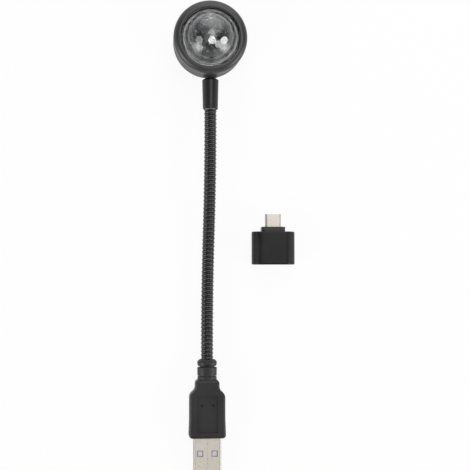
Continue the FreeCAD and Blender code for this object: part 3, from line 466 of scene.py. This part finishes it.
def course(rib):
    """Middle of the neck at a count of ribs from the first bend."""
    if rib <= 0:
        return bends[0] + Vector((0, rib * RIB_PITCH, 0))
    if rib >= ribs_at[-1]:
        return bends[-1] + Vector((0, (rib - ribs_at[-1]) * RIB_PITCH, 0))
    k = max(i for i, start in enumerate(ribs_at) if start <= rib)
    return bends[k].lerp(bends[k + 1], (rib - ribs_at[k]) / (ribs_at[k + 1] - ribs_at[k]))


def wire_drop(row):
    """How deep the surface lies at a row of one turn: the round wire first, then the wedge."""
    if row < WIRE_ROWS:
        return abs(2 * row / WIRE_ROWS - 1) ** WIRE_ROUND
    across = 2 * (row - WIRE_ROWS) / (CUTS - WIRE_ROWS) - 1
    return WEDGE_DROP + (1 - WEDGE_DROP) * abs(across) ** WIRE_ROUND


def winding(name, first, last):
    """A stretch of the wound tube from one turn of its groove to another."""
    work, rows = bmesh.new(), []
    layer = work.verts.layers.float.new("crest")
    for row in range((last - first) * CUTS + 1):
        drop = wire_drop(row % CUTS)
        line = []
        for side in range(SIDES + 1):
            rib = first + row / CUTS + side / SIDES
            along = (course(rib + 0.5) - course(rib - 0.5)).normalized()
            across = Vector((1, 0, 0)).cross(along).cross(along).normalized()
            angle = 2 * math.pi * side / SIDES - math.pi / 2
            spoke = across * math.cos(angle) + along.cross(across) * math.sin(angle)
            line.append(work.verts.new(course(rib) + (NECK_RADIUS - GROOVE * drop) * spoke))
            line[-1][layer] = 1 - drop
        rows.append(line)
    for low, high in zip(rows, rows[1:]):
        for k in range(SIDES):
            work.faces.new((low[k], low[k + 1], high[k + 1], high[k]))
    for row in range(0, len(rows), CUTS):
        for line in rows[row:row + WIRE_ROWS + 1:WIRE_ROWS]:
            for a, b in zip(line, line[1:]):
                work.edges.get((a, b)).smooth = False
    bmesh.ops.remove_doubles(work, verts=work.verts, dist=1e-6)
    bmesh.ops.recalc_face_normals(work, faces=work.faces)
    mesh = bpy.data.meshes.new(name)
    work.to_mesh(mesh)
    work.free()
    mesh.shade_smooth()
    mesh.materials.append(neck_lacquer)
    piece = bpy.data.objects.new(name, mesh)
    bpy.context.scene.collection.objects.link(piece)
    return piece


halfway = [low + (high - low) // 2 for low, high in zip(ribs_at, ribs_at[1:])]
ends = [-RIBS_BELOW] + halfway + [ribs_at[-1] + RIBS_ABOVE]
foot_piece = winding("neck_foot", ends[0] - FOOT_RIBS, ends[0])
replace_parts(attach(foot_piece, "plug"), "neck_tail", "neck_cable")
for k, (joint, rib) in enumerate(zip(hinges, ribs_at)):
    piece = winding(f"neck_bend_{k + 1:02d}", ends[k], ends[k + 1])
    reach = min(rib - ends[k] - 1, ends[k + 1] - rib)
    course(rib - reach)
    course(rib + reach)
    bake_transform(piece)
    if joint is not hinges[-1]:
        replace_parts(piece, f"neck_link_{k + 1:02d}")
crown_piece = winding("neck_crown", ends[-1], ends[-1] + CROWN_RIBS)
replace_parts(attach(crown_piece, "head"), "neck_top")


# USB plug: a shell rolled from tin plated sheet, with painted shade along its bends, a closed seam and its
# punched locks on top and two windows in each face, round a white tongue with four gilt contacts.
# The tongue's white is painted down to a shaded grey, with painted shadow round the windows' edges.
# Behind it are a moulded block round the soldered ends and a crimped brass ring on the neck.
shell_low, shell_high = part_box("usb_shell")
PLUG_X, SHELL_TOP = (shell_low[0] + shell_high[0]) / 2, shell_high[2]
SEAM_HALF, SEAM_LOW, SEAM_HIGH = 0.00005, 0.0060, 0.0065
LOCKS, LOCK_FLAT, LOCK_EDGE = (-0.1760, -0.1826, -0.1846), 0.00012, 0.0003
BEND_FROM, BEND_TO = 0.0051, 0.0059
WINDOW_REACH, WINDOW_Y = 0.00315, -0.18025
WINDOW_LIT, WINDOW_DARK = 0.0009, 0.0012
# How far from the windows' middle, along the plug, the painted shadow round the windows reaches.
SHADOW_FROM, SHADOW_TO = 0.002, 0.0025
# How strongly painted shade darkens the bends, and how dark the seam's line and the punch's dents are.
BEND_SHADE, SEAM_DENT, LOCK_DENT = 0.7, 0.12, 0.8
TIN_DARK, TIN_LIGHT = (0.63, 0.585, 0.51), (0.84, 0.785, 0.70)
ROLLED = (2000.0, 160.0, 2000.0)
SHADED_NYLON_DARK, SHADED_NYLON_LIGHT, WINDOW_SHADOW = (0.46, 0.46, 0.50), (0.56, 0.56, 0.60), (0.06, 0.06, 0.09)


def shell_shade_and_dents(place):
    """Painted shade along the bends, the faint line of the seam, and the dents of the punch along it."""
    x, z = place.along("X"), place.along("Z")
    aside = abs(x - PLUG_X)
    # Painted shade: the bends' metal is darkened to dim their reflection.
    bend_shade = BEND_SHADE * aside.step(BEND_FROM, BEND_TO)
    seam = SEAM_DENT * (1 - aside.step(SEAM_HALF, 2 * SEAM_HALF)) * z.step(SEAM_LOW, SEAM_HIGH)
    dents_and_shade = bend_shade.either(seam)
    for lock in LOCKS:
        dents_and_shade = dents_and_shade.either(LOCK_DENT * near(place, (PLUG_X, lock, SHELL_TOP), LOCK_FLAT, LOCK_EDGE))
    return dents_and_shade


rolled_tin = plated("rolled_tin_plate", TIN_DARK, TIN_LIGHT, rough=0.30, streaks=ROLLED, dents_and_shade=shell_shade_and_dents)
dress(rolled_tin, "usb_shell")

# Painted shade: the tongue is coloured a grey darker than its white nylon, and painted shadow darkens it
# further round the windows' edges.
material, place = new_finish("tongue_white_shaded")
off_x = abs(abs(place.along("X") - PLUG_X) - WINDOW_REACH)
off_y = abs(place.along("Y") - WINDOW_Y)
window_shade = off_x.either(off_y).step(WINDOW_LIT, WINDOW_DARK) * (1 - off_y.step(SHADOW_FROM, SHADOW_TO))
grain = place.noise(4000.0, detail=2.0)
dress(finish(material, place, {
    "Base Color": window_shade.between(grain.between(SHADED_NYLON_DARK, SHADED_NYLON_LIGHT), WINDOW_SHADOW),
    "Roughness": 0.40 + 0.10 * grain,
    "Normal": grain.bump(6e-6),
}), "usb_tongue")
# The socket's tongue is painted the same shaded grey, darker than its white nylon.
shaded_socket_nylon = moulded("tongue_white", (0.44, 0.44, 0.48), (0.54, 0.54, 0.58), rough=0.42, grain=4000.0,
                       depth=6e-6)
dress(shaded_socket_nylon, "socket_tongue")
gilt = plated("contact_gilt", (0.72, 0.50, 0.20), (0.86, 0.64, 0.30), rough=0.22,
              streaks=(4000.0, 400.0, 4000.0))
dress(gilt, "usb_contacts", "socket_contacts", "micro_contacts")
block = moulded("block_natural", (0.55, 0.55, 0.53), (0.66, 0.66, 0.63), rough=0.5, grain=3000.0,
                depth=8e-6)
dress(block, "inner_mould")
brass = plated("ring_brass", (0.52, 0.36, 0.14), (0.66, 0.48, 0.2), rough=0.34,
               streaks=(900.0, 900.0, 900.0))
dress(brass, "neck_anchor")


# Plug cover: soft black PVC moulded over the plug and the neck's end, with a bead and two rings as
# a strain relief, a sunk panel and two marks of the mould's pins. Matt, with a fine eroded grain.
cover = moulded("cover_pvc_matt", (0.012, 0.012, 0.0122), (0.018, 0.018, 0.0182), rough=0.46,
                grain=4200.0, depth=1.4e-5, gloss=0.38)
dress(cover, "plug_cover")


# Adapter: a micro plug and a socket of tin plate on a small board, in a matt black core that pushes
# into a satin black case. It lies loose beside the neck.
CASE_GRAIN = 4600.0

plain_tin = plated("plain_tin_plate", (0.42, 0.39, 0.345), (0.56, 0.52, 0.47), rough=0.28, streaks=ROLLED)
dress(plain_tin, "micro_shell", "micro_latches", "socket_shell")
green_mask = moulded("board_green_mask", (0.018, 0.10, 0.035), (0.03, 0.16, 0.06), rough=0.4,
                     grain=2400.0, depth=1e-5)
dress(green_mask, "adapter_board")
core = moulded("core_black_matt", (0.008, 0.008, 0.008), (0.013, 0.013, 0.013), rough=0.40,
               grain=CASE_GRAIN, depth=9e-6)
dress(core, "adapter_core", "micro_tongue")
case = moulded("case_black_satin", (0.006, 0.006, 0.0058), (0.010, 0.010, 0.0095), rough=0.36,
               grain=CASE_GRAIN, depth=7e-6, gloss=0.25)
dress(case, "adapter_case")
